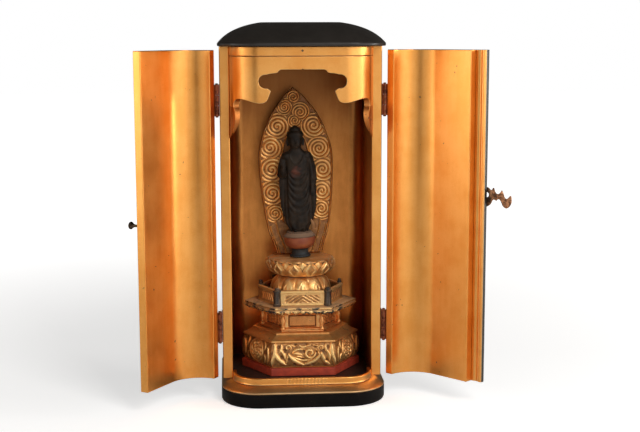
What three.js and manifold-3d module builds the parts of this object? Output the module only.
// A household altar cabinet: a lacquered case with a domed roof, two curved hinged doors with a latch hook,
// and inside it a standing figure with a pointed halo on a stack of carved hexagonal and lotus tiers.
// Millimetres, +Z up, the front faces -Y. The origin is the middle of the base's underside.
import * as THREE from "three";
import { mergeVertices } from "three/addons/utils/BufferGeometryUtils.js";
import Module from "manifold-3d";

const wasm = await Module();
wasm.setup();

// ---- Driving dimensions ----
const TOUCH_GAP = 0.1; // between pieces that lie on each other
const CASE_HALF = 76.5; // outer half width of the walls
const CASE_FRONT = -30; // front faces of the side walls
const CASE_BACK = 68;
const WALL = 9.5;
const BACK_WALL = 8;
const BACK_CORNER = 14; // cove between the back and the sides, inside
const BACK_SEAM = 46; // where the side walls end and the back board begins

const PLAN_HALF = 78.8; // outer half width of base and roof
const PLAN_SHIFT = 0.7; // both sit a little to the right
const PLAN_FRONT = -68.5;
const PLAN_BACK = 69;
const PLAN_CORNER = 37; // front corners in plan
const PLAN_BACK_CORNER = 5;

const BASE_TOP = 13.6;
const LEDGE_TOP = 20;
const LEDGE_SLOPE = 9.5; // how far the gilt ledge slopes inwards
const FLOOR_TOP = 21;
const LIP_TOP = 26.5;
const LIP_THICKNESS = 3.5;
const WALL_TOP = 337.8;
const ROOF_BOTTOM = 338;
const ROOF_EAVE = 341;
const ROOF_TOP = 360;

const TRIM_HALF = CASE_HALF - WALL - TOUCH_GAP; // sill lip, frieze and head rail fit between the walls
const TRIM_FRONT = -58.8;
const TRIM_CORNER = 27;
const TRIM_END = -24;
const FRIEZE_THICKNESS = 6;
const FRIEZE_BOTTOM = 252;
const FRIEZE_TOP = 328.9;
const HEAD_RAIL_BOTTOM = 329.2;
const HEAD_RAIL_THICKNESS = 8;
const CEILING_BOTTOM = 331.5;

const DOOR_THICKNESS = 8;
const DOOR_OUTER_RADIUS = 36;
const DOOR_FRONT = -68;
const DOOR_BOTTOM = 22.1;
const DOOR_TOP = 334.5;
const DOOR_MEETING_GAP = 0.25; // half the gap between the closed doors
const HINGE_AXIS_X = 78.9;
const HINGE_AXIS_Y = -31;
const HINGE_LENGTH = 29.5;
const HINGE_BOTTOMS = { lower: 55.9, upper: 273 };
const KNUCKLE_RADIUS = 2;
const PIN_BORE = 1;
const PIN_RADIUS = 0.9;
const LEAF_THICKNESS = 0.7;
const LEAF_WIDTH = 9.4;
const LEAF_LIFT = 0.1;
const LEFT_DOOR_OPEN = 122.6; // degrees from closed
const RIGHT_DOOR_OPEN = 132;

const STRIP = { inside: 9, overlap: 11.4, thickness: 4.8, edge: 0.9 }; // covers the joint between the doors
const STUD = { inset: 13, height: 175, neck: 1.3, head: 3.6, length: 18.4 };
const HOOK_PIVOT = { overlap: 0.9, height: 194.4, radius: 1.2, flange: 2.7, cap: 2.1 };
const HOOK_THICKNESS = 1.4;
const HOOK_LIFT = 5.6; // hook's near face above the door's outer face

const DAIS_X = 1; // the stack of tiers stands a little to the right
const DAIS_Y = 11;
const LEAN = 2; // degrees: figure, stand and halo lean to the left

// ---- Shapes and solids ----
const deg = THREE.MathUtils.degToRad;

// A closed polygon of [x, y] points as a THREE.Shape.
function polygon(points) {
  return new THREE.Shape(points.map(([x, y]) => new THREE.Vector2(x, y)));
}

// A shape in plan, extruded from z0 to z1.
function prism(shape, z0, z1, curveSegments = 12) {
  const geometry = new THREE.ExtrudeGeometry(shape, { depth: z1 - z0, bevelEnabled: false, curveSegments });
  return geometry.translate(0, 0, z0);
}

// A shape drawn in x and z, extruded along y from y0 to y1.
function prismAlongY(shape, y0, y1, curveSegments = 12) {
  return prism(shape, -y1, -y0, curveSegments).rotateX(Math.PI / 2);
}

// A shape drawn in y and z, extruded along x from x0 to x1.
function prismAlongX(shape, x0, x1, curveSegments = 12) {
  return prism(shape, x0, x1, curveSegments).rotateX(Math.PI / 2).rotateZ(Math.PI / 2);
}

// Joins closed rings of equally many [x, y, z] points into one solid, with a fan over the first and last ring.
function loft(rings) {
  const count = rings[0].length;
  const positions = rings.flat(2);
  const index = [];
  rings.slice(1).forEach((_, level) => {
    for (let i = 0; i < count; i++) {
      const a = level * count + i;
      const b = level * count + ((i + 1) % count);
      index.push(a, b, b + count, a, b + count, a + count);
    }
  });
  const middle = (ring) => [0, 1, 2].map((k) => ring.reduce((sum, p) => sum + p[k], 0) / count);
  const last = (rings.length - 1) * count;
  const bottom = positions.length / 3;
  positions.push(...middle(rings[0]), ...middle(rings[rings.length - 1]));
  for (let i = 0; i < count; i++) {
    const j = (i + 1) % count;
    index.push(bottom, j, i, bottom + 1, last + i, last + j);
  }
  const geometry = new THREE.BufferGeometry();
  geometry.setAttribute("position", new THREE.Float32BufferAttribute(positions, 3));
  return geometry.setIndex(index);
}

function toSolid(geometry) {
  const bare = new THREE.BufferGeometry();
  bare.setAttribute("position", geometry.getAttribute("position"));
  bare.setIndex(geometry.index);
  const merged = mergeVertices(bare, 1e-4);
  return new wasm.Manifold(
    new wasm.Mesh({
      numProp: 3,
      vertProperties: merged.attributes.position.array,
      triVerts: new Uint32Array(merged.index.array),
    }),
  );
}

function toGeometry(solid) {
  const made = solid.getMesh();
  const geometry = new THREE.BufferGeometry();
  geometry.setAttribute("position", new THREE.BufferAttribute(made.vertProperties, 3));
  geometry.setIndex(new THREE.BufferAttribute(made.triVerts, 1));
  return geometry;
}

function join(...geometries) {
  return toGeometry(geometries.map(toSolid).reduce((whole, piece) => whole.add(piece)));
}

function cut(geometry, ...cutters) {
  return toGeometry(cutters.map(toSolid).reduce((whole, piece) => whole.subtract(piece), toSolid(geometry)));
}

function cylinder(radius, z0, z1, sides = 12, topRadius = radius) {
  const geometry = new THREE.CylinderGeometry(topRadius, radius, z1 - z0, sides);
  return geometry.rotateX(Math.PI / 2).translate(0, 0, (z0 + z1) / 2);
}

// A turned solid from [radius, z] points that start and end on the axis.
function turned(profile, sides = 20) {
  return new THREE.LatheGeometry(polygon(profile).getPoints(), sides).rotateX(Math.PI / 2);
}

// ---- Materials ----
const material = (color, roughness, metalness = 0) =>
  new THREE.MeshStandardMaterial({ color, roughness, metalness });
const BLACK_LACQUER = material(0x14110f, 0.25);
const GILT = material(0xd69a3c, 0.38, 0.8);
const CARVED_GILT = material(0xb9823f, 0.42, 0.7);
const RED_LACQUER = material(0x8c2c1c, 0.4);
const BOWL_RED = material(0x7a3020, 0.6);
const DARK_WOOD = material(0x2b2723, 0.6);
const BRASS = material(0x7d5233, 0.5, 0.8);

const altar = new THREE.Group();

function add(name, geometry, finish, parent = altar) {
  const mesh = new THREE.Mesh(geometry, finish);
  mesh.name = name;
  parent.add(mesh);
  return mesh;
}

// ---- Case ----

// The plan shared by base, ledge and roof, inset on the front and sides: wide round corners in front.
function casePlan(inset, backInset = inset, arcSteps = 8) {
  const left = PLAN_SHIFT - PLAN_HALF + inset;
  const right = PLAN_SHIFT + PLAN_HALF - inset;
  const front = PLAN_FRONT + inset;
  const back = PLAN_BACK - backInset;
  const corner = (cx, cy, radius, from) =>
    Array.from({ length: arcSteps + 1 }, (_, i) => {
      const angle = deg(from + (90 * i) / arcSteps);
      return [cx + radius * Math.cos(angle), cy + radius * Math.sin(angle)];
    });
  const wide = Math.max(PLAN_CORNER - inset * 0.5, 6);
  const small = PLAN_BACK_CORNER + inset * 0.3;
  return [
    ...corner(left + wide, front + wide, wide, 180),
    ...corner(right - wide, front + wide, wide, 270),
    ...corner(right - small, back - small, small, 0),
    ...corner(left + small, back - small, small, 90),
  ];
}

const level = (plan, z) => plan.map(([x, y]) => [x, y, z]);

function addBase() {
  const foot = 1.2;
  add(
    "base_plinth",
    loft([level(casePlan(foot), 0), level(casePlan(0), 2.2), level(casePlan(0), BASE_TOP)]),
    BLACK_LACQUER,
  );
  const edge = 1.2;
  add(
    "ledge_board",
    loft([
      level(casePlan(0.3), BASE_TOP),
      level(casePlan(0.3), BASE_TOP + edge),
      level(casePlan(LEDGE_SLOPE * 0.55, 0.3), LEDGE_TOP - 1.4),
      level(casePlan(LEDGE_SLOPE, 0.3), LEDGE_TOP),
    ]),
    GILT,
  );
}

// The curve of sill lip, frieze and head rail: straight along each wall, round the corner and across the front.
function trimShape(thickness) {
  const half = TRIM_HALF;
  const outline = new THREE.Shape();
  outline.moveTo(-half, TRIM_END);
  outline.lineTo(-half, TRIM_FRONT + TRIM_CORNER);
  outline.absarc(-half + TRIM_CORNER, TRIM_FRONT + TRIM_CORNER, TRIM_CORNER, Math.PI, 1.5 * Math.PI);
  outline.absarc(half - TRIM_CORNER, TRIM_FRONT + TRIM_CORNER, TRIM_CORNER, 1.5 * Math.PI, 2 * Math.PI);
  outline.lineTo(half, TRIM_END);
  outline.lineTo(half - thickness, TRIM_END);
  const inner = TRIM_CORNER - thickness;
  outline.absarc(half - TRIM_CORNER, TRIM_FRONT + TRIM_CORNER, inner, 2 * Math.PI, 1.5 * Math.PI, true);
  outline.absarc(-half + TRIM_CORNER, TRIM_FRONT + TRIM_CORNER, inner, 1.5 * Math.PI, Math.PI, true);
  outline.lineTo(-half + thickness, TRIM_END);
  return outline;
}

// The board inside the trim's curve and the walls, with coved back corners, a small gap all round.
function insideShape(thickness) {
  const gap = TOUCH_GAP;
  const half = TRIM_HALF - thickness - gap;
  const inner = TRIM_CORNER - thickness - gap;
  const wallHalf = CASE_HALF - WALL - gap;
  const back = CASE_BACK - BACK_WALL - gap;
  const cornerY = TRIM_FRONT + TRIM_CORNER;
  const shape = new THREE.Shape();
  shape.moveTo(-half, cornerY);
  shape.absarc(-TRIM_HALF + TRIM_CORNER, cornerY, inner, Math.PI, 1.5 * Math.PI);
  shape.absarc(TRIM_HALF - TRIM_CORNER, cornerY, inner, 1.5 * Math.PI, 2 * Math.PI);
  shape.lineTo(half, TRIM_END + gap);
  shape.lineTo(wallHalf, TRIM_END + gap);
  shape.absarc(wallHalf - BACK_CORNER, back - BACK_CORNER, BACK_CORNER, 0, 0.5 * Math.PI);
  shape.absarc(-wallHalf + BACK_CORNER, back - BACK_CORNER, BACK_CORNER, 0.5 * Math.PI, Math.PI);
  shape.lineTo(-wallHalf, TRIM_END + gap);
  shape.lineTo(-half, TRIM_END + gap);
  return shape;
}

function addWalls() {
  const inner = CASE_HALF - WALL;
  for (const [name, side] of [["side_wall_left", -1], ["side_wall_right", 1]]) {
    const board = [
      [side * inner, CASE_FRONT],
      [side * CASE_HALF, CASE_FRONT],
      [side * CASE_HALF, BACK_SEAM],
      [side * inner, BACK_SEAM],
    ];
    add(name, prism(polygon(board), LEDGE_TOP, WALL_TOP), BLACK_LACQUER);
  }
  const outline = new THREE.Shape();
  outline.moveTo(-CASE_HALF, BACK_SEAM);
  outline.lineTo(-inner, BACK_SEAM);
  const coveY = CASE_BACK - BACK_WALL - BACK_CORNER;
  outline.absarc(-inner + BACK_CORNER, coveY, BACK_CORNER, Math.PI, 0.5 * Math.PI, true);
  outline.absarc(inner - BACK_CORNER, coveY, BACK_CORNER, 0.5 * Math.PI, 0, true);
  outline.lineTo(CASE_HALF, BACK_SEAM);
  outline.lineTo(CASE_HALF, CASE_BACK - 4);
  outline.lineTo(CASE_HALF - 4, CASE_BACK);
  outline.lineTo(-CASE_HALF + 4, CASE_BACK);
  outline.lineTo(-CASE_HALF, CASE_BACK - 4);
  add("back_board", prism(outline, LEDGE_TOP, WALL_TOP, 5), BLACK_LACQUER);
}

// The cloud-scroll opening under the frieze, drawn in x and z: a flat crown, a step, a round lobe and a hook
// on each side, then a low wave outwards.
function friezeOpening() {
  const crown = 316.9;
  const lobe = { x: 35.4, z: 306, radius: 6.4 };
  const right = new THREE.Shape();
  right.moveTo(0, crown + 0.9);
  right.lineTo(0.8, crown);
  right.lineTo(20.5, crown);
  right.quadraticCurveTo(22.6, crown - 0.4, 23.6, crown - 3);
  right.quadraticCurveTo(29, crown - 4.4, lobe.x, lobe.z + lobe.radius);
  right.absarc(lobe.x, lobe.z, lobe.radius, 0.5 * Math.PI, -0.42 * Math.PI, true);
  right.quadraticCurveTo(34, 298.2, 30.5, 297.6);
  right.bezierCurveTo(31.5, 292, 34, 286.2, 41, 286);
  right.bezierCurveTo(48, 286, 52, 290, 63, 290.2);
  right.lineTo(63, FRIEZE_BOTTOM - 10);
  const half = right.getPoints(5).map((p) => [p.x, p.y]);
  const mirrored = half.slice(1).reverse().map(([x, z]) => [-x, z]);
  return polygon([...mirrored, ...half]);
}

// The space beside the frieze's hanging tail, drawn in y and z.
function tailOpening() {
  const shape = new THREE.Shape();
  shape.moveTo(-62, 290.2);
  shape.lineTo(-45, 290.2);
  shape.quadraticCurveTo(-40, 289, -38.6, 281);
  shape.lineTo(-37.4, 280);
  shape.quadraticCurveTo(-37, 262, -31, FRIEZE_BOTTOM + 0.4);
  shape.lineTo(-31, FRIEZE_BOTTOM - 10);
  shape.lineTo(-62, FRIEZE_BOTTOM - 10);
  return shape;
}

function addTrim() {
  add("sill_lip", prism(trimShape(LIP_THICKNESS), LEDGE_TOP, LIP_TOP, 8), GILT);
  const board = prism(trimShape(FRIEZE_THICKNESS), FRIEZE_BOTTOM, FRIEZE_TOP, 7);
  const frontCut = prismAlongY(friezeOpening(), -90, -44.5);
  const sideCuts = [[-90, -45], [45, 90]].map(([x0, x1]) => prismAlongX(tailOpening(), x0, x1, 6));
  add("frieze", cut(board, frontCut, ...sideCuts), GILT);
  add("head_rail", prism(trimShape(HEAD_RAIL_THICKNESS), HEAD_RAIL_BOTTOM, WALL_TOP, 8), GILT);
  add("floor_board", prism(insideShape(LIP_THICKNESS), LEDGE_TOP, FLOOR_TOP, 6), BLACK_LACQUER);
  add("ceiling_board", prism(insideShape(HEAD_RAIL_THICKNESS), CEILING_BOTTOM, WALL_TOP, 6), BLACK_LACQUER);
}

// The roof rises from an upright eave to a flat top along a quadratic curve of inset against height.
function addRoof() {
  const steps = 7;
  const shoulder = { inset: 12, z: 356 };
  const topInset = 41;
  const rings = [level(casePlan(0.6), ROOF_BOTTOM), level(casePlan(0), ROOF_BOTTOM + 1)];
  for (let i = 0; i <= steps; i++) {
    const t = i / steps;
    const inset = 2 * t * (1 - t) * shoulder.inset + t * t * topInset;
    const z = (1 - t) ** 2 * ROOF_EAVE + 2 * t * (1 - t) * shoulder.z + t * t * ROOF_TOP;
    rings.push(level(casePlan(inset), z));
  }
  add("roof", loft(rings), BLACK_LACQUER);
}

// ---- Doors, drawn closed and then swung open about their hinges ----

// Half of the front: a round corner and a flat leaf that ends at the middle. side is -1 left, 1 right.
function doorShape(side) {
  const outer = DOOR_OUTER_RADIUS;
  const inner = outer - DOOR_THICKNESS;
  const cx = side * (CASE_HALF - outer);
  const cy = DOOR_FRONT + outer;
  const meet = side * DOOR_MEETING_GAP;
  const steps = 12;
  const arc = (radius, forwards) =>
    Array.from({ length: steps + 1 }, (_, i) => {
      const angle = deg((90 * (forwards ? i : steps - i)) / steps);
      return [cx + side * radius * Math.cos(angle), cy - radius * Math.sin(angle)];
    });
  return polygon([
    ...arc(outer, true),
    [meet, DOOR_FRONT],
    [meet, DOOR_FRONT + DOOR_THICKNESS],
    ...arc(inner, false),
  ]);
}

// A leaf's plate in plan lies on the outer face of the wall or, bent to its curve, on that of the door.
function caseLeafPlate(side) {
  const inner = side * (CASE_HALF + LEAF_LIFT);
  const outer = side * (CASE_HALF + LEAF_LIFT + LEAF_THICKNESS);
  const start = HINGE_AXIS_Y + 0.15;
  const end = HINGE_AXIS_Y + LEAF_WIDTH;
  return polygon([[inner, start], [outer, start], [outer, end], [inner, end]]);
}

function doorLeafPlate(side) {
  const cx = CASE_HALF - DOOR_OUTER_RADIUS;
  const cy = DOOR_FRONT + DOOR_OUTER_RADIUS;
  const steps = 3;
  const bent = (radius) => [
    [side * (cx + radius), HINGE_AXIS_Y - 0.15],
    ...Array.from({ length: steps + 1 }, (_, i) => {
      const angle = (LEAF_WIDTH / DOOR_OUTER_RADIUS) * (i / steps);
      return [side * (cx + radius * Math.cos(angle)), cy - radius * Math.sin(angle)];
    }),
  ];
  const inner = DOOR_OUTER_RADIUS + LEAF_LIFT;
  return polygon([...bent(inner), ...bent(inner + LEAF_THICKNESS).reverse()]);
}

function hingeLeaf(side, plate, z0, knuckles) {
  const third = HINGE_LENGTH / 3;
  const play = 0.15;
  const at = (geometry) => geometry.translate(side * HINGE_AXIS_X, HINGE_AXIS_Y, z0);
  const span = (i) => [i ? i * third + play : 0, i < 2 ? (i + 1) * third - play : HINGE_LENGTH];
  const tubes = knuckles.map((i) => at(cylinder(KNUCKLE_RADIUS, ...span(i))));
  const others = [0, 1, 2].filter((i) => !knuckles.includes(i));
  const clearings = others.map((i) => {
    const [low, high] = span(i);
    return at(cylinder(KNUCKLE_RADIUS + 0.3, low - 2 * play, high + 2 * play));
  });
  const bore = at(cylinder(PIN_BORE, -1, HINGE_LENGTH + 1));
  const whole = join(prism(plate, z0, z0 + HINGE_LENGTH), ...tubes);
  return cut(whole, bore, ...clearings);
}

function addHinge(label, side, z0, door) {
  add(`hinge_${label}_case_leaf`, hingeLeaf(side, caseLeafPlate(side), z0, [0, 2]), BRASS);
  const pin = cylinder(PIN_RADIUS, -0.4, HINGE_LENGTH + 0.4);
  pin.translate(side * HINGE_AXIS_X, HINGE_AXIS_Y, z0);
  add(`hinge_${label}_pin`, pin, BRASS);
  const doorLeaf = hingeLeaf(side, doorLeafPlate(side), z0, [1]);
  add(`hinge_${label}_door_leaf`, doorLeaf.translate(-side * HINGE_AXIS_X, -HINGE_AXIS_Y, 0), BRASS, door);
}

// A group that turns about a door's hinge axis; its pieces are drawn closed, from that axis.
function swungGroup(side, degreesOpen) {
  const group = new THREE.Group();
  group.position.set(side * HINGE_AXIS_X, HINGE_AXIS_Y, 0);
  group.rotation.z = side * deg(degreesOpen);
  altar.add(group);
  return group;
}

// The latch hook's outline, from its pivot: a wavy arm with three spikes above and two throats below, the
// outer one for the stud, which ends in a broad tip. A curl over the pivot encloses a small opening.
function hookOutline() {
  const shape = new THREE.Shape();
  const eye = 4.2;
  shape.moveTo(-eye, 0);
  shape.absarc(0, 0, eye, Math.PI, 1.6 * Math.PI);
  shape.quadraticCurveTo(5, -6, 9.5, -4.6);
  shape.quadraticCurveTo(13.4, -3, 14.6, 0);
  shape.quadraticCurveTo(15.6, 2.6, 17.4, 2.6);
  shape.lineTo(19.8, 1.4);
  shape.quadraticCurveTo(21.2, 3.6, 23, 3.4);
  shape.quadraticCurveTo(24.8, 2.6, 26.4, -1.2);
  shape.quadraticCurveTo(28.2, -4.4, 31.6, -4.4);
  shape.quadraticCurveTo(35.2, -3, 36.6, 1.2);
  shape.lineTo(36, 7.8);
  shape.lineTo(34.6, 7.4);
  shape.quadraticCurveTo(30.4, 2, 28.4, 7);
  shape.lineTo(25.8, 12);
  shape.quadraticCurveTo(23.4, 8, 20.6, 8.2);
  shape.quadraticCurveTo(18, 9, 17.2, 13.4);
  shape.lineTo(15.8, 13.6);
  shape.quadraticCurveTo(14.4, 9.6, 11.4, 13);
  shape.quadraticCurveTo(6.4, 15.4, 4, 10.4);
  shape.quadraticCurveTo(2.6, 6.4, -1, eye);
  shape.quadraticCurveTo(-eye, eye * 0.8, -eye, 0);
  return shape;
}

function addLatch(rightDoor, leftDoor) {
  const face = DOOR_FRONT - HINGE_AXIS_Y;
  const edge = DOOR_MEETING_GAP - HINGE_AXIS_X; // the right door's free edge, from its hinge axis
  const strip = [
    [edge + STRIP.inside, face - TOUCH_GAP],
    [edge - STRIP.overlap, face - TOUCH_GAP],
    [edge - STRIP.overlap, face - STRIP.thickness + STRIP.edge],
    [edge - STRIP.overlap + STRIP.edge, face - STRIP.thickness],
    [edge + STRIP.inside - STRIP.edge, face - STRIP.thickness],
    [edge + STRIP.inside, face - STRIP.thickness + STRIP.edge],
  ].reverse();
  add("meeting_strip", prism(polygon(strip), DOOR_BOTTOM, DOOR_TOP), BLACK_LACQUER, rightDoor);

  const pivotX = edge - HOOK_PIVOT.overlap;
  const outwards = (geometry, x, z) => geometry.rotateX(Math.PI / 2).translate(x, face, z);
  const hookTop = HOOK_LIFT + HOOK_THICKNESS;
  const pivot = turned([
    [0, STRIP.thickness + TOUCH_GAP],
    [HOOK_PIVOT.flange, STRIP.thickness + TOUCH_GAP],
    [HOOK_PIVOT.flange, HOOK_LIFT - 0.2],
    [HOOK_PIVOT.radius, HOOK_LIFT - 0.2],
    [HOOK_PIVOT.radius, hookTop + 0.3],
    [HOOK_PIVOT.cap, hookTop + 0.3],
    [HOOK_PIVOT.cap * 0.7, hookTop + 1.3],
    [0, hookTop + 1.6],
  ], 12);
  add("hook_pivot", outwards(pivot, pivotX, HOOK_PIVOT.height), BRASS, rightDoor);

  const plate = prism(hookOutline(), HOOK_LIFT, hookTop, 5);
  const eyeHole = cylinder(HOOK_PIVOT.radius + 0.2, 0, 10);
  const openwork = cylinder(1.9, 0, 10, 8).scale(1.2, 1.2, 1).translate(9.2, 6.6, 0);
  const hook = cut(plate, eyeHole, openwork).rotateY(Math.PI).translate(0, 0, HOOK_LIFT + hookTop);
  add("latch_hook", outwards(hook, pivotX, HOOK_PIVOT.height), BRASS, rightDoor);

  const stud = turned([
    [0, TOUCH_GAP],
    [STUD.neck * 1.5, TOUCH_GAP],
    [STUD.neck, 1.5],
    [STUD.neck, STUD.length - 7],
    [STUD.neck * 1.6, STUD.length - 4.2],
    [STUD.head, STUD.length - 2.6],
    [STUD.head * 0.94, STUD.length - 1.6],
    [STUD.head * 0.5, STUD.length - 0.4],
    [0, STUD.length],
  ], 14);
  const studX = HINGE_AXIS_X - DOOR_MEETING_GAP - STUD.inset;
  add("catch_stud", outwards(stud, studX, STUD.height), BRASS, leftDoor);
}

function addDoors() {
  const doors = {};
  for (const [word, side, open] of [["left", -1, LEFT_DOOR_OPEN], ["right", 1, RIGHT_DOOR_OPEN]]) {
    const group = swungGroup(side, open);
    const panel = prism(doorShape(side), DOOR_BOTTOM, DOOR_TOP);
    const solid = toGeometry(toSolid(panel).translate([-side * HINGE_AXIS_X, -HINGE_AXIS_Y, 0]));
    add(`door_${word}`, solid, GILT, group);
    for (const [height, z0] of Object.entries(HINGE_BOTTOMS)) addHinge(`${height}_${word}`, side, z0, group);
    doors[word] = group;
  }
  addLatch(doors.right, doors.left);
}

// ---- The dais: hexagonal tiers, two lotus tiers, figure and halo ----

// A hexagon with a point to each side: half width, half depth and half the front edge.
function hexagon(half, depth, front) {
  return [[-half, 0], [-front, -depth], [front, -depth], [half, 0], [front, depth], [-front, depth]];
}

const hexPrism = (size, z0, z1) => prism(polygon(hexagon(...size)), z0, z1);
const grow = ([half, depth, front], by) => [half + by * 1.2, depth + by, front + by * 0.6];

function addHexTiers(dais) {
  const foot = [58.5, 44, 31];
  const drum = [58.8, 45, 31.5];
  add("red_footboard", hexPrism(foot, FLOOR_TOP + TOUCH_GAP, 29), RED_LACQUER, dais);
  const profile = [[29.1, -2.6], [33, -0.8], [39, 0.6], [46, 0.2], [51, -1.4], [54.5, -3.4], [56, -5.6], [59, -7.4], [62, -9.4]];
  add("carved_drum", loft(profile.map(([z, out]) => level(hexagon(...grow(drum, out)), z))), CARVED_GILT, dais);

  const waist = [36, 27.5, 18];
  const corners = hexagon(...grow(waist, 1.6)).map(([x, y]) => cylinder(2.6, 63, 80, 8).translate(x, y, 0));
  const waistSolid = join(
    hexPrism(waist, 62.2, 81.7),
    hexPrism(grow(waist, 3.8), 62.2, 64.6),
    hexPrism(grow(waist, 3), 79.4, 81.7),
    ...corners,
  );
  add("waist_drum", waistSolid, CARVED_GILT, dais);

  const plate = [55.5, 42, 27.5];
  const plateProfile = [[81.9, -4], [82.4, -0.6], [85.4, 0], [88.2, -0.8]];
  add("fringed_plate", loft(plateProfile.map(([z, out]) => level(hexagon(...grow(plate, out)), z))), CARVED_GILT, dais);

  const rail = [42, 33.4, 24.5];
  const posts = hexagon(...rail).map(([x, y]) => cylinder(2.7, 88.4, 104.6, 6).translate(x, y, 0));
  const ring = cut(join(hexPrism(grow(rail, 0.8), 88.4, 103.2), ...posts), hexPrism(grow(rail, -2.4), 80, 120));
  add("railing", ring, CARVED_GILT, dais);
}

// A ring whose radius swells over each petal.
function petalRing(z, radius, swell, petals, pointsEach = 4, shift = 0) {
  const count = petals * pointsEach;
  return Array.from({ length: count }, (_, i) => {
    const angle = (2 * Math.PI * i) / count;
    const wave = Math.abs(Math.cos((petals * (angle + shift)) / 2));
    const r = radius + swell * wave;
    return [r * Math.cos(angle), r * Math.sin(angle), z];
  });
}

function addLotusTiers(dais) {
  const lower = [[88.4, 23, 0], [97, 24, 0.4], [98.2, 27.5, 2.2], [102, 27.2, 2.8], [107, 24.8, 2], [112, 22, 0.6], [113.8, 21.6, 0]];
  add("lower_lotus", loft(lower.map(([z, r, s]) => petalRing(z, r, s, 12))), CARVED_GILT, dais);
  const upper = [[114.1, 21, 0], [116, 25.5, 1], [119, 30, 2], [123, 32.4, 2.6], [127, 32.4, 2.2], [130, 30.6, 1], [131, 29, 0]];
  const slot = prism(polygon([[-7, 14.8], [7, 14.8], [7, 18.2], [-7, 18.2]]), 126.5, 133);
  add("upper_lotus", cut(loft(upper.map(([z, r, s]) => petalRing(z, r, s, 12))), slot), CARVED_GILT, dais);
}

// Everything above the lotus leans together.
function addStand(leaning) {
  const profile = [
    [0, 0.3], [10, 0.3], [10.2, 1.8], [8.4, 3], [8, 7.6], [9.2, 8.8], [12.4, 11], [14.1, 14.5], [14.3, 18.5],
    [13.4, 21], [12.2, 22], [11.8, 25], [0, 25],
  ];
  add("figure_stand", turned(profile, 22), BOWL_RED, leaning);
}

// An oval of half widths a and b whose sides are fuller than an ellipse's when power is over 2.
function oval(z, a, b, cx, cy, power = 2.3, count = 22) {
  return Array.from({ length: count }, (_, i) => {
    const angle = (2 * Math.PI * i) / count;
    const c = Math.cos(angle);
    const s = Math.sin(angle);
    const fold = (v) => Math.sign(v) * Math.abs(v) ** (2 / power);
    return [cx + a * fold(c), cy + b * fold(s), z];
  });
}

// A tapering limb between two points, with a round section.
function limb(from, to, radiusFrom, radiusTo) {
  const axis = new THREE.Vector3().subVectors(to, from);
  const turn = new THREE.Quaternion().setFromUnitVectors(new THREE.Vector3(0, 0, 1), axis.clone().normalize());
  const geometry = cylinder(radiusFrom, 0, axis.length(), 10, radiusTo);
  return geometry.applyQuaternion(turn).translate(from.x, from.y, from.z);
}

// The standing figure, from the top of its stand: robe, shoulders, neck, head and crown, one hand raised.
function addFigure(leaning) {
  const base = 25.3;
  const levels = [
    [0, 9.4, 6.2, 0, -0.5], [4, 10.4, 6.6, 0, 0], [8, 13.6, 7.4, 0.6, 0.4], [14, 14.4, 7.6, 0.8, 0.4],
    [26, 15, 7.6, 0.8, 0.4], [40, 14.4, 7.4, 0.6, 0.2], [52, 13.4, 7.4, 0.2, 0], [60, 12.6, 7.2, 0, 0],
    [68, 12.6, 6.8, 0, 0], [73, 12, 6, 0, 0.2], [76.4, 8.4, 4.8, 0, 0.4], [78.2, 4.3, 4, 0, 0],
    [80.6, 3.7, 3.8, 0, -0.6], [82.6, 5, 5, 0, -0.8], [86, 6.1, 6.2, 0, -0.6], [90.5, 6.5, 6.8, 0, -0.2],
    [94.6, 5.9, 6.2, 0, 0], [97, 3.9, 4.2, 0, 0.3], [99.4, 3.5, 3.8, 0, 0.4], [101.6, 2, 2.2, 0, 0.5],
  ];
  const body = loft(levels.map(([z, a, b, cx, cy]) => oval(base + z, a, b, cx, cy)));
  const at = (x, y, z) => new THREE.Vector3(x, y, base + z);
  const sleeve = limb(at(-12, 0, 70), at(-15.2, -2, 54), 3.6, 4);
  const forearm = limb(at(-14.6, -1, 56), at(-13.4, -8.6, 65), 3.2, 2);
  const hand = limb(at(-13.4, -8.4, 64), at(-13.6, -9.4, 71.4), 1.9, 1.3);
  const lowered = limb(at(12.4, 0, 70), at(14.6, -5.4, 40), 3.4, 2.6);
  const drape = limb(at(-15.4, -2, 58), at(-14.2, -1.4, 16), 3.2, 1.8);
  add("standing_figure", join(body, sleeve, forearm, hand, lowered, drape), DARK_WOOD, leaning);
}

// The halo: a pointed leaf-shaped board behind the figure, drawn in x and z from its foot.
function addHalo(leaning) {
  const side = new THREE.SplineCurve(
    [[22.5, 0], [26.2, 12], [30.6, 26], [35, 58], [36.8, 92], [34.4, 111], [24.6, 136], [11, 155], [0, 165]].map(
      ([x, z]) => new THREE.Vector2(x, z),
    ),
  );
  const right = side.getPoints(28).map((p) => [p.x, p.y]);
  const left = right.slice(0, -1).reverse().map(([x, z]) => [-x, z]);
  const board = prismAlongY(polygon([...right, ...left]), 14.6, 18.4).translate(0, 0, 0.9);
  const tongue = prismAlongY(polygon([[-6, -4], [6, -4], [6, 2], [-6, 2]]), 15.2, 17.8);
  add("halo", join(board, tongue), CARVED_GILT, leaning);
}

function addDais() {
  const dais = new THREE.Group();
  dais.position.set(DAIS_X, DAIS_Y, 0);
  altar.add(dais);
  addHexTiers(dais);
  addLotusTiers(dais);
  const leaning = new THREE.Group();
  leaning.position.set(0, 0, 131.4);
  leaning.rotation.y = -deg(LEAN);
  dais.add(leaning);
  addStand(leaning);
  addFigure(leaning);
  addHalo(leaning);
}

addBase();
addWalls();
addTrim();
addRoof();
addDoors();
addDais();

export default altar;
